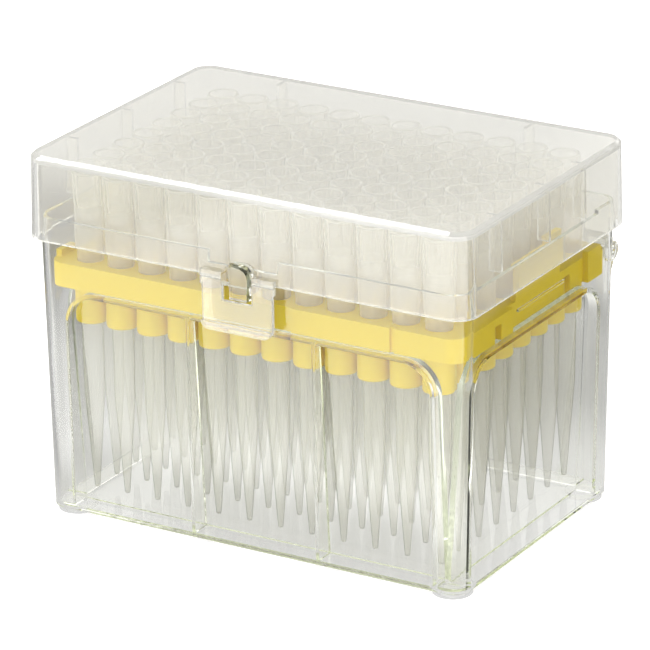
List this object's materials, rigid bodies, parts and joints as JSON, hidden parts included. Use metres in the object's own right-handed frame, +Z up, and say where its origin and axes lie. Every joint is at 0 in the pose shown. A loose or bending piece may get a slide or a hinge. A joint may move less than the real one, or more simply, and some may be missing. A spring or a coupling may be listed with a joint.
{
  "type": "box of pipette tips",
  "caption": "Clear plastic box with a hinged lid, a snap latch and a yellow rack that holds rows of frosted tips over its wells.",
  "frame": {"origin": "under the middle of the rack of tips, at the level of the feet's undersides", "axes": "+Z up, -Y towards the latch on the long front side, +X to the right seen from the front"},
  "size_m": [0.1254, 0.0901, 0.0955],
  "materials": {
    "clear_plastic": "clear, faintly green-grey, moulded gloss",
    "yellow_plastic": "opaque lemon yellow, satin moulded",
    "frosted_plastic": "milky translucent, fine matt"
  },
  "bodies": {
    "tub": {"base_tub": "clear_plastic", "tip_rack": "yellow_plastic", "tips_column_01": "frosted_plastic", "tips_column_02": "frosted_plastic", "tips_column_03": "frosted_plastic", "tips_column_04": "frosted_plastic", "tips_column_05": "frosted_plastic", "tips_column_06": "frosted_plastic", "tips_column_07": "frosted_plastic", "tips_column_08": "frosted_plastic", "tips_column_09": "frosted_plastic", "tips_column_10": "frosted_plastic", "tips_column_11": "frosted_plastic", "tips_column_12": "frosted_plastic"},
    "lid": {"lid": "clear_plastic"},
    "latch": {"latch_flap": "clear_plastic"}
  },
  "joints": [
    {"name": "lid_hinge", "type": "hinge", "parent": "tub", "child": "lid", "pos_m": [0, 0.04303, 0.064], "axis": [-1, 0, 0], "range_deg": [0, 105]},
    {"name": "latch_hinge", "type": "hinge", "parent": "lid", "child": "latch", "pos_m": [0, -0.0435, 0.07335], "axis": [-1, 0, 0], "range_deg": [0, 105]}
  ]
}
